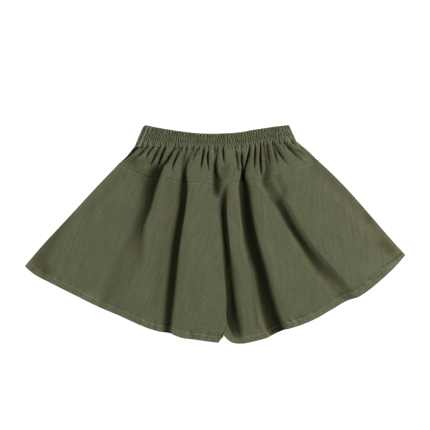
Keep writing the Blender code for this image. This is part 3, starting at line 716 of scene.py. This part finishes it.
# Creases, from the waist down: where each starts and ends down the yoke, its x at the start, halfway
# and at the end, the share of the height that it takes and half its width.
GATHER = ("start", "end", "x_top", "x_middle", "x_foot", "depth", "width")
GATHERS = [
    (-0.02, 0.24, -109.0, -113.5, -117, 0.80, 2.4),
    (-0.02, 0.84, -101.0, -114.0, -130, 0.95, 3.2),
    (-0.02, 0.60, -92.0, -99.8, -105, 0.88, 2.6),
    (-0.02, 1.00, -82.0, -93.0, -103, 0.90, 3.2),
    (-0.02, 1.40, -74.0, -87.2, -104, 0.97, 3.2),
    (-0.02, 1.40, -59.5, -77.5, -95, 0.96, 3.2),
    (-0.02, 0.24, -54.5, -57.0, -60, 0.70, 2.4),
    (-0.02, 0.96, -49.0, -60.5, -65, 0.85, 3.0),
    (-0.02, 1.25, -42.0, -49.5, -53, 0.68, 3.6),
    (-0.02, 0.98, -32.5, -41.0, -46, 0.62, 3.0),
    (-0.02, 0.48, -24.0, -30.5, -35, 0.78, 3.0),
    (-0.02, 0.80, -16.5, -19.2, -23, 0.85, 2.8),
    (0.0, 0.80, -9.5, -10.3, -8, 0.82, 2.6),
    (-0.02, 0.32, -0.5, -0.8, -1.5, 0.50, 2.2),
    (-0.02, 0.60, 4.0, 1.8, 1.2, 0.52, 2.6),
    (-0.02, 0.56, 12.2, 13.3, 13.5, 0.80, 2.8),
    (0.40, 1.10, 20.0, 14.0, 7.0, 0.30, 6.5),
    (0.55, 1.10, 31.0, 25.0, 17.0, 0.22, 5.0),
    (0.0, 1.00, 30.5, 33.0, 34.5, 0.66, 3.0),
    (0.01, 1.35, 39.6, 39.8, 42, 0.90, 2.8),
    (-0.02, 1.35, 51.6, 44.8, 38, 0.93, 3.0),
    (-0.02, 0.88, 60.0, 58.7, 58.3, 0.80, 2.6),
    (-0.02, 1.28, 67.6, 67.6, 72.0, 0.88, 2.7),
    (-0.02, 0.94, 72.5, 74.8, 76.5, 0.65, 3.2),
    (-0.02, 0.96, 78.0, 81.0, 85, 0.85, 2.8),
    (-0.02, 0.86, 85.5, 90.0, 94.5, 0.75, 2.6),
    (-0.02, 0.99, 88.5, 99.0, 113, 0.88, 3.0),
    (-0.02, 0.40, 96.5, 101.0, 106, 0.45, 2.6),
    (-0.02, 1.00, 103.0, 117.5, 136, 0.90, 3.2),
    (-0.02, 0.28, 114.5, 118.0, 122, 0.85, 2.6),
    (0.30, 1.05, 116.0, 133.0, 148, 0.50, 3.2),
]
CREASES = [dict(zip(GATHER, row)) for row in GATHERS]


def yoke_plan(rows, columns, left_side):
    """Plan points over a yoke, and how far down each is: 0 at the waist and 1 at the yoke seam."""
    middle = [WAIST_SEAM["right"][0], YOKE_SEAM["right"][0]]
    waist = [left_side[0]] + WAIST_SEAM["left"][1:]
    edges = {
        "left": (waist, YOKE_SEAM["left"], left_side, middle),
        "right": (WAIST_SEAM["right"], YOKE_SEAM["right"], middle, YOKE_SIDE["right"]),
    }
    halves = []
    for side, first in (("left", 0), ("right", 1)):
        across = np.linspace(0, 1, columns[side])[first:]
        across, down = np.meshgrid(across, np.linspace(0, 1, rows))
        halves.append(panel_point(*edges[side], across, down))
    plan = np.hstack(halves)
    return plan, np.repeat(down[:, :1], plan.shape[1], 1)


def ruffle(along, seed, across=0.0):
    """Narrow ridges of gathered cloth with sharp valleys between, from 0 to 1."""
    phase = along / RUFFLE_PITCH + 0.7 * soft_noise(along / 11, across, seed)
    tallness = 0.72 + 0.28 * soft_noise(along / 7, across + 31, seed + 1)
    return np.abs(np.sin(np.pi * phase)) ** 0.7 * tallness


def seam_ridges(x):
    """The gathers where they pass through the waist seam: 0 in each crease, 1 between."""
    tops = np.array([crease["x_top"] for crease in CREASES if crease["start"] < 0.1])
    nearest = np.abs(x[..., None] - tops).min(axis=-1)
    between = np.clip(nearest / CREASE_REACH, 0, 1)
    return np.sqrt(between * (2 - between)) * (0.55 + 0.45 * ruffle(x + 200, 21))


def yoke_creases(x, down):
    """What the creases leave of the yoke's height."""
    left = np.ones(x.shape)
    for crease in CREASES:
        run = crease["end"] - crease["start"]
        t = (down - crease["start"]) / run
        u = np.clip(t, 0, 1)
        top, middle, foot = crease["x_top"], crease["x_middle"], crease["x_foot"]
        line = top * (1 - u) * (1 - 2 * u) + 4 * middle * u * (1 - u) + foot * u * (2 * u - 1)
        slant = (foot - top) / run / YOKE_DEPTH
        # A crease from the band begins at once, and one from lower down begins softly.
        begun = (t * run + 0.03) / 0.04 if crease["start"] < 0 else t / 0.20
        fade = eased(np.clip(np.minimum(begun, (1 - t) / 0.75), 0, 1))
        width = crease["width"] * np.interp(u, [0, 0.22, 1], [0.60, 1.08, 0.42])
        # The cloth slopes softly into a crease from the garment's side, and steeply from its middle.
        outside = (x - line) * (1 if top > MIDDLE else -1) > 0
        out = np.abs(x - line) / np.sqrt(1 + slant**2) / width * np.where(outside, 0.72, 1.25)
        narrow = np.clip(out, 0, 1)
        valley = (1 - narrow) ** 1.2 * (1 + 1.2 * narrow)
        taken = (1 - SOFT_SHARE) * valley + SOFT_SHARE * falling(out / SOFT_WIDTH)
        left = left * (1 - crease["depth"] * fade * taken)
    return left


def front_yoke():
    plan, down = yoke_plan(YOKE_ROWS, YOKE_COLUMNS, FRONT_YOKE_SIDE)
    # The cloth rises out of the waist seam, in ruffles that die out a third of the way down.
    rise = 0.78 + 0.22 * np.clip(down / 0.10, 0, 1)
    ridges = seam_ridges(plan[..., 0])
    creased = yoke_creases(plan[..., 0], down)
    creased *= 1 - 0.72 * np.clip(1 - down / 0.26, 0, 1) ** 1.3 * (1 - ridges)
    outer = front_surface(plan, down, creased * rise, FRONT_YOKE_SIDE)
    to_seam = lengths_down(outer)[1]
    outer[..., 2] -= SEAM_DIP * ridge_at(to_seam, 0, SEAM_WIDTH)
    in_folds = folds_shade(plan)
    in_creases = CREASE_SHADE * (creased - 0.9)
    both = np.maximum(np.minimum(in_folds, 0), np.minimum(in_creases, 0))
    shade_and_wear = np.minimum(in_folds, in_creases) + MEETING_SHADE * both
    shade_and_wear += seam_line(to_seam, plan[..., 0])
    # Painted highlights on the ruffles' ridges and painted shade between them, near the waist.
    shade_and_wear += 1.5 * (ridges - 0.4) * np.clip(1 - down / 0.30, 0, 1)
    tuck = (YOKE_TUCK, np.minimum(outer[:1, :, 2], UNDER_BAND))
    piece = front_piece("front_yoke", plan, outer, LINEN, shade_and_wear, 0, *tuck)
    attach(piece, "root")
    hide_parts("yoke_front")


front_yoke()


# ---------------------------------------------------------------------------------------------
# Back legs
# The same two flared panels, lying on the table under the front. Low folds stand up inside the
# shorts, and the hems are turned up and stitched like the front's, a little inside them.

# How far its hem is inside the front's, and its low folds: x at the top and at the hem, height and
# half the width.
BACK_TUCK = 1.5
BACK_FOLD = ("top", "hem", "height", "width")
BACK_FOLDS = {
    "left": [(-112, -205, 3.0, 9), (-68, -118, 3.6, 8), (-22, -30, 3.2, 8)],
    "right": [(28, 58, 3.4, 7), (62, 128, 3.6, 8), (118, 232, 3.0, 9)],
}
BACK_ROWS, BACK_COLUMNS, BACK_HEM_SEED = 96, 130, 15
# How much higher the back's lower face stands along its seams, and how far it keeps below the front.
BACK_SEAM_LIFT, BACK_CLEARANCE = 0.4, 0.2


def under_front(plan, down, left_side=YOKE_SIDE["left"]):
    """The highest that the lower face of the back may stand under the front."""
    height = front_surface(plan, down, 1.0, left_side)[..., 2] - 2 * LINEN - BACK_CLEARANCE
    return np.maximum(height, 0)


def back_leg(side, grain):
    down = np.linspace(0, 1 - BACK_TUCK / LEG_LENGTH, BACK_ROWS)
    across, down = np.meshgrid(np.linspace(1, 0, BACK_COLUMNS), down)
    plan = leg_point(side, across, down)
    height = 0.12 * np.clip(soft_noise(plan[..., 0] / 16, plan[..., 1] / 34, 8), 0, 1)
    # The low folds die out towards the yoke and the hem.
    held = np.interp(down, [0, 0.15, 0.8, 0.95], [0, 1, 1, 0])
    for row in BACK_FOLDS[side]:
        fold = dict(zip(BACK_FOLD, row))
        line = fold["top"] + (fold["hem"] - fold["top"]) * down
        line += 4 * soft_noise(down * 3, down * 0, fold["width"])
        out = np.abs(plan[..., 0] - line) / fold["width"]
        height += fold["height"] * held * falling(out) ** 1.3
    outer = np.dstack([plan, np.clip(height, 0, under_front(plan, 1 + down))])
    from_seam, from_hem = lengths_down(outer)
    rise, thick, shade_and_wear = turned_hem(outer, from_hem, BACK_HEM_SEED)
    outer[..., 2] += np.maximum(0.35 - rise, 0) + 0.32 * ridge_at(from_hem, HEM_STITCH, 1.0)
    outer[..., 2] += BACK_SEAM_LIFT * ridge_at(from_seam, 0, SEAM_WIDTH)
    weave = woven(outer, plan, -1)
    inner = outer + np.dstack([plan * 0, thick])
    piece = sewn_piece(f"back_leg_{side}", outer, inner, weave, shade_and_wear, grain, linen_olive)
    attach(piece, "root")
    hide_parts(f"leg_back_{side}", f"hem_back_{side}")
    return outer, from_hem


back_left = back_leg("left", -18)
back_right = back_leg("right", 5)


# ---------------------------------------------------------------------------------------------
# Back yoke
# The back's shaped strip, gathered along the waist like the front's and pressed flat by its weight.

# The waist's length with its gathers let out, and their pitch and height.
BACK_WAIST, BACK_GATHER_PITCH, BACK_GATHER_HEIGHT = 250, 9.5, 1.6
BACK_YOKE_ROWS, BACK_YOKE_COLUMNS = 34, {"left": 120, "right": 120}
# The painted shadow on the inside of the back's left edge, in the gap past the front, and how far in.
GAP_SHADOW, GAP_SHADOW_WIDTH = 2.5, 9


def back_yoke():
    plan, down = yoke_plan(BACK_YOKE_ROWS, BACK_YOKE_COLUMNS, YOKE_SIDE["left"])
    plan = plan[:, ::-1]
    gathers = np.linspace(0, 1, plan.shape[1])[None, :] * BACK_WAIST / BACK_GATHER_PITCH
    wave = np.sin(2 * np.pi * (gathers + 0.5 * soft_noise(gathers / 2, down * 2, 9)))
    reach = 0.75 + 0.3 * soft_noise(gathers, down * 0, 10)
    height = BACK_GATHER_HEIGHT * np.clip(wave, 0, 1) ** 1.5 * np.clip(1 - down / reach, 0, 1)
    outer = np.dstack([plan, np.clip(height, 0, under_front(plan, down, FRONT_YOKE_SIDE))])
    to_seam = lengths_down(outer)[1]
    outer[..., 2] += BACK_SEAM_LIFT * ridge_at(to_seam, 0, SEAM_WIDTH)
    shade_and_wear = seam_line(to_seam, plan[..., 0])
    # This edge shows past the front, and its inner face is painted dark as the shadow in the gap.
    from_edge = distance_to(plan, YOKE_SIDE["left"])
    gap_shadowed = shade_and_wear - GAP_SHADOW * np.clip(1.6 - from_edge / GAP_SHADOW_WIDTH, 0, 1)
    weave = woven(outer, plan, -1)
    inner = outer + np.array([0, 0, LINEN])
    piece = sewn_piece("back_yoke", outer, inner, weave, shade_and_wear, 0, linen_olive, inner_shade_and_wear=gap_shadowed)
    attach(piece, "root")
    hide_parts("yoke_back")


back_yoke()


# ---------------------------------------------------------------------------------------------
# Front waistband
# A casing of the same linen over wide elastic, quilted to it by two rows of stitching, so that it
# ruffles in three channels. It is folded over at the top and sewn to the yoke along its lower edge.

BAND_TOP = [(-107.5, 163.8), (-66, 156), (-14, 150.5), (31, 152), (72, 158.6), (110.5, 163.8)]
BAND_ROWS, BAND_COLUMNS = 44, 420
# Down from the top edge: the two rows of stitching, and the waist seam. In each channel between
# them the ruffles stand this many times as close.
CHANNELS = [0.0, 8.6, 17.6, 26.5]
CHANNEL_RUFFLES = [1.12, 1.34, 1.0]
# Heights of its lower face, of its upper face in the stitching, and of the ruffles above that.
BAND_INSIDE, BAND_PINCHED, BAND_PUFF = 3.3, 3.8, 4.4
# The share along the band where its side seam is, and the place, width and height of the raised
# ridge beside it.
SIDE_SEAM_SHARE = 0.019
RIDGE_PLACE, RIDGE_WIDTH, RIDGE_HEIGHT = 2.8, 1.6, 2.0
# The length of the drawn-up band, and how many times as long the weave on it runs.
BAND_RUN, BAND_FULLNESS = 223.0, 1.35
# Shares of its depth, where the fold at the top starts and where the evening out of that fold ends.
BAND_FOLD, TOP_EDGE = 0.03, 0.2


def band_point(share, depth):
    """The band's plan point: a share along it from the left, and depth from its top to the seam."""
    waist, down = WAIST_SEAM["left"] + WAIST_SEAM["right"][1:], depth[..., None]
    return (1 - down) * curve_at(BAND_TOP, share) + down * curve_at(waist, share)


def band_puff(along, depth, seed):
    """How full the ruffled casing is, from 0 to 1, and its ridges, which each channel has of its own."""
    drop = depth * CHANNELS[-1]
    channel = np.clip(np.searchsorted(CHANNELS, drop, side="right") - 1, 0, 2)
    starts, ends = np.array(CHANNELS)[channel], np.array(CHANNELS)[channel + 1]
    place = (drop - starts) / (ends - starts)
    # The fold along the top and the seam along the bottom stay fuller than the stitching.
    place = np.where(channel == 0, 0.14 + 0.86 * place, place)
    place = np.where(channel == 2, 0.80 * place, place)
    full = 0.30 + 0.70 * np.sin(np.pi * np.clip(place, 0, 1)) ** 0.7
    ridges = ruffle(along * np.array(CHANNEL_RUFFLES)[channel], seed, channel * 7 + drop / 40)
    return full * (0.10 + 0.90 * ridges) + 0.40 * (1 - full), ridges


def band_shell(name, outer, inner, weave, puff, replaced):
    # Painted shade in the ruffles' valleys and painted highlights on their crests.
    shade_and_wear = 2.2 * (puff - 0.56)
    piece = sewn_piece(name, outer, inner, weave, shade_and_wear, 0, linen_olive, edge_steps=5)
    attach(piece, "root")
    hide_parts(replaced)


def front_band():
    depth = np.linspace(1, BAND_FOLD, BAND_ROWS)
    share, depth = np.meshgrid(np.linspace(1, SIDE_SEAM_SHARE, BAND_COLUMNS), depth)
    plan = band_point(share, depth)
    along = share * BAND_RUN
    puff, ridges = band_puff(along, depth, 41)
    # Its lowest channel runs into the yoke's gathers.
    joined = np.clip((depth * CHANNELS[-1] - CHANNELS[2] - 2) / 4, 0, 1)
    puff = puff * (1 - joined) + joined * (1.15 * seam_ridges(plan[..., 0]) - 0.2)
    from_seam = along - SIDE_SEAM_SHARE * BAND_RUN
    ridge = ridge_at(from_seam, RIDGE_PLACE, RIDGE_WIDTH)
    # It is flatter beside the side seam and at its right end.
    puff = puff * np.clip(from_seam / 4, 0.85, 1)
    puff = puff * (1 - 0.7 * np.clip(1 - (BAND_RUN - along) / 3.0, 0, 1) ** 2)
    height = BAND_PINCHED + BAND_PUFF * puff + RIDGE_HEIGHT * ridge * (0.75 + 0.25 * puff)
    outer = np.dstack([plan, height])
    # The rounded edge reaches further on a thick ruffle, so the ruffle stands in by as much.
    outer[..., 1] -= (ridges - 0.5) * np.clip(1 - depth / TOP_EDGE, 0, 1)
    inner = np.dstack([plan, np.full(share.shape, BAND_INSIDE)])
    weave = np.dstack([-along * BAND_FULLNESS, plan[..., 1]])
    # Towards its right end it is paler.
    paler_right_end = 0.22 * np.clip((share - 0.90) / 0.05, 0, 1) * np.clip(depth / TOP_EDGE, 0, 1)
    # A painted highlight on the raised ridge beside the side seam, over the ruffles' painted shade.
    pale = puff + (0.65 + 0.5 * puff) * ridge + paler_right_end
    band_shell("front_waistband", outer, inner, weave, pale, "waistband_front")
    return outer


front_band_outer = front_band()


# ---------------------------------------------------------------------------------------------
# Back waistband
# The other half of the casing. It lies on the table, turns up round the left end and meets the
# front half in a raised side seam on top.

BACK_BAND_COLUMNS = 380
# The radius of its turn round the left end, how much less that is where the casing is pinched, and
# the radius of its inner face.
BAND_TURN, PINCHED_LESS, TURN_INSIDE = 3.4, 0.9, 0.15
# It lies this far from the front half's seam, and its top edge this far short of the front's.
SEAM_GAP, TOP_SHORT = 0.3, 1.7


def back_band():
    # Along the band from the seam on top, round the left end, and back along the table.
    run = BAND_TURN * np.pi
    top = SIDE_SEAM_SHARE * BAND_RUN - BAND_TURN - SEAM_GAP
    lengths = np.linspace(-(top + run), BAND_RUN, BACK_BAND_COLUMNS)
    lengths, depth = np.meshgrid(lengths, np.linspace(1, BAND_FOLD, BAND_ROWS))
    puff, ridges = band_puff(lengths + 40, depth, 51)
    angle = np.pi * np.clip(-lengths / run, 0, 1)
    on_top = np.clip(-lengths - run, 0, None)
    share = np.where(lengths > 0, lengths, on_top) / BAND_RUN
    plan = band_point(share, depth)
    puff = puff * np.clip((top + run + lengths) / 3, 0.9, 1)
    reach = BAND_TURN - PINCHED_LESS + PINCHED_LESS * puff
    x, y = plan[..., 0] + BAND_TURN * (1 - share), plan[..., 1]
    outer = np.dstack([x - reach * np.sin(angle), y, BAND_TURN - reach * np.cos(angle)])
    outer[..., 1] += (0.4 * ridges - TOP_SHORT) * np.clip(1 - depth / TOP_EDGE, 0, 1)
    inner = np.dstack([x - TURN_INSIDE * np.sin(angle), y, BAND_TURN - TURN_INSIDE * np.cos(angle)])
    weave = np.dstack([lengths * BAND_FULLNESS, y])
    band_shell("back_waistband", outer, inner, weave, puff, "waistband_back")
    return outer


back_band_outer = back_band()


# ---------------------------------------------------------------------------------------------
# Stitching
# Matching olive thread: one row round each hem, and two rows that hold the casing to its elastic.

# In metres: each stitch's length and width, and the distance from one to the next.
STITCH_LENGTH, STITCH_WIDTH, STITCH_PITCH = 0.0021, 0.00042, 0.0027
# How far a stitch may turn out of line, in radians, and how far it stands on the cloth, in mm.
STITCH_SWAY, STITCH_LIFT = 0.12, 0.05


def sewing_thread(name):
    """Spun thread, a little lighter and darker along it."""
    material, tree, shader = new_material(name, {"Roughness": 0.75})
    place = add_node(tree, "ShaderNodeTexCoord").outputs["Object"]
    twist = add_node(tree, "ShaderNodeTexNoise", [("Vector", place), ("Scale", 900)])
    shade = add_node(tree, "ShaderNodeValToRGB", [("Fac", twist.outputs["Fac"])])
    shade.color_ramp.elements[0].color = (0.085, 0.088, 0.050, 1)
    shade.color_ramp.elements[1].color = (0.140, 0.145, 0.088, 1)
    tree.links.new(shade.outputs["Color"], shader.inputs["Base Color"])
    return material


thread = sewing_thread("olive_thread")


def stitch_tree():
    """Stitches laid end to end along a line, each turned to lie on the cloth."""
    tree = bpy.data.node_groups.new("stitches", "GeometryNodeTree")
    sockets = {"Line": "Geometry", "Length": "Float", "Width": "Float", "Pitch": "Float", "Seed": "Int"}
    for name, kind in sockets.items():
        tree.interface.new_socket(name, in_out="INPUT", socket_type=f"NodeSocket{kind}")
    tree.interface.new_socket("Stitches", in_out="OUTPUT", socket_type="NodeSocketGeometry")

    def node(kind, values=(), **settings):
        return add_node(tree, kind, values, **settings)

    given = node("NodeGroupInput").outputs
    curve = node("GeometryNodeMeshToCurve", [("Mesh", given["Line"])])
    dots = node(
        "GeometryNodeCurveToPoints",
        [("Curve", curve.outputs[0]), ("Length", given["Pitch"])],
        mode="LENGTH",
    )
    out = node("GeometryNodeInputNamedAttribute", [("Name", "out")], data_type="FLOAT_VECTOR")
    run = node("FunctionNodeAlignRotationToVector", [("Vector", dots.outputs["Tangent"])], axis="X")
    lie = node(
        "FunctionNodeAlignRotationToVector",
        [("Rotation", run.outputs[0]), ("Vector", out.outputs[0])],
        axis="Z",
        pivot_axis="X",
    )
    sway = node("FunctionNodeRandomValue", [("Seed", given["Seed"])], data_type="FLOAT")
    sway.inputs[2].default_value = -STITCH_SWAY
    sway.inputs[3].default_value = STITCH_SWAY
    turn = node("ShaderNodeCombineXYZ", [("Z", sway.outputs[1])])
    laid = node(
        "FunctionNodeRotateRotation",
        [("Rotation", lie.outputs[0]), ("Rotate By", turn.outputs[0])],
        rotation_space="LOCAL",
    )
    size = node(
        "ShaderNodeCombineXYZ",
        [("X", given["Length"]), ("Y", given["Width"]), ("Z", given["Width"])],
    )
    bead = node("GeometryNodeMeshUVSphere", [("Segments", 6), ("Rings", 4), ("Radius", 0.5)])
    shaped = node("GeometryNodeTransform", [("Geometry", bead.outputs[0]), ("Scale", size.outputs[0])])
    placed = node(
        "GeometryNodeInstanceOnPoints",
        [("Points", dots.outputs[0]), ("Instance", shaped.outputs[0]), ("Rotation", laid.outputs[0])],
    )
    real = node("GeometryNodeRealizeInstances", [("Geometry", placed.outputs[0])])
    dyed = node("GeometryNodeSetMaterial", [("Geometry", real.outputs[0]), ("Material", thread)])
    end = node("NodeGroupOutput")
    tree.links.new(dyed.outputs[0], end.inputs[0])
    return tree


stitches = stitch_tree()


def row_at(outer, distance, wanted):
    """The line on a panel at a distance from its last row, and the cloth's normal along it."""
    both = np.dstack([outer, grid_normals(outer)])[::-1]
    row = []
    for column, order in enumerate(distance[::-1].T):
        row.append([np.interp(wanted, order, both[:, column, k]) for k in range(6)])
    row = np.array(row)
    return row[:, :3], row[:, 3:]


def stitched(name, lines, seed):
    """One mesh of all the stitches along these lines."""
    points = np.concatenate([line + up * STITCH_LIFT for line, up in lines]) * MM
    ups = np.concatenate([up for line, up in lines])
    joined, start = [], 0
    for line, up in lines:
        joined += [(i, i + 1) for i in range(start, start + len(line) - 1)]
        start += len(line)
    mesh = bpy.data.meshes.new(name)
    mesh.from_pydata(points.tolist(), joined, [])
    out = mesh.attributes.new("out", "FLOAT_VECTOR", "POINT")
    out.data.foreach_set("vector", ups.astype(np.float32).ravel())
    guide = add_object(f"{name}_guide", mesh)
    modifier = guide.modifiers.new("stitches", "NODES")
    modifier.node_group = stitches
    items = stitches.interface.items_tree
    named = {item.name: item.identifier for item in items if item.in_out == "INPUT"}
    modifier[named["Length"]] = STITCH_LENGTH
    modifier[named["Width"]] = STITCH_WIDTH
    modifier[named["Pitch"]] = STITCH_PITCH
    modifier[named["Seed"]] = seed
    bpy.context.view_layer.update()
    depsgraph = bpy.context.evaluated_depsgraph_get()
    finished = bpy.data.meshes.new_from_object(guide.evaluated_get(depsgraph))
    bpy.data.objects.remove(guide)
    finished.shade_smooth()
    piece = add_object(name, finished)
    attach(piece, "root")


hems = {
    "front_left": front_left,
    "front_right": front_right,
    "back_left": back_left,
    "back_right": back_right,
}
for seed, (name, (outer, from_hem)) in enumerate(hems.items()):
    stitched(f"hem_stitching_{name}", [row_at(outer, from_hem, HEM_STITCH)], seed)

for seed, (name, outer) in enumerate((("front", front_band_outer), ("back", back_band_outer))):
    drop = np.repeat(np.linspace(1, BAND_FOLD, BAND_ROWS)[:, None], outer.shape[1], 1) * CHANNELS[-1]
    rows = [row_at(outer, drop, at) for at in CHANNELS[1:3]]
    stitched(f"band_stitching_{name}", rows, 10 + seed)


# ---------------------------------------------------------------------------------------------
# Table, light and camera
# The shorts lie on a plain white table, with a soft light on each side and the camera straight above.

# In metres: half the table's width, and how far it is below the shorts.
TABLE_HALF, TABLE_DROP = 8, 0.0002
# The width that the camera sees at the table, and its focal length and sensor in millimetres.
VIEW_WIDTH, FOCAL_LENGTH, SENSOR = 0.645, 100, 36

around = ((-1, -1), (1, -1), (1, 1), (-1, 1))
corners = [(x * TABLE_HALF, y * TABLE_HALF, -TABLE_DROP) for x, y in around]
table = bpy.data.meshes.new("table")
table.from_pydata(corners, [], [(0, 1, 2, 3)])
table_top = add_object("table", table)
paint = {
    "Base Color": (0.25, 0.25, 0.25, 1),
    "Roughness": 0.9,
    "Emission Color": (1, 1, 1, 1),
    "Emission Strength": 0.95,
}
table.materials.append(new_material("white_table", paint)[0])

scene = bpy.context.scene
world = bpy.data.worlds.new("studio")
world.use_nodes = True
sky = world.node_tree.nodes["Background"]
sky.inputs["Color"].default_value = (1, 1, 1, 1)
sky.inputs["Strength"].default_value = 0.06
scene.world = world


def softbox(name, place, size, power):
    lamp = bpy.data.lights.new(name, "AREA")
    lamp.shape = "SQUARE"
    lamp.size = size
    lamp.energy = power
    made = add_object(name, lamp)
    made.location = place
    aim = -made.location.normalized()
    made.rotation_euler = aim.to_track_quat("-Z", "Y").to_euler()


softbox("softbox_left", (-2.3, 0.3, 1.4), 1.5, 66)
softbox("softbox_right", (1.5, 0.35, 0.87), 1.0, 39)

lens = bpy.data.cameras.new("camera")
lens.lens = FOCAL_LENGTH
lens.sensor_width = SENSOR
camera = add_object("camera", lens)
camera.location = (-0.0002, 0.0292, VIEW_WIDTH * FOCAL_LENGTH / SENSOR)
scene.camera = camera
scene.view_settings.view_transform = "Standard"
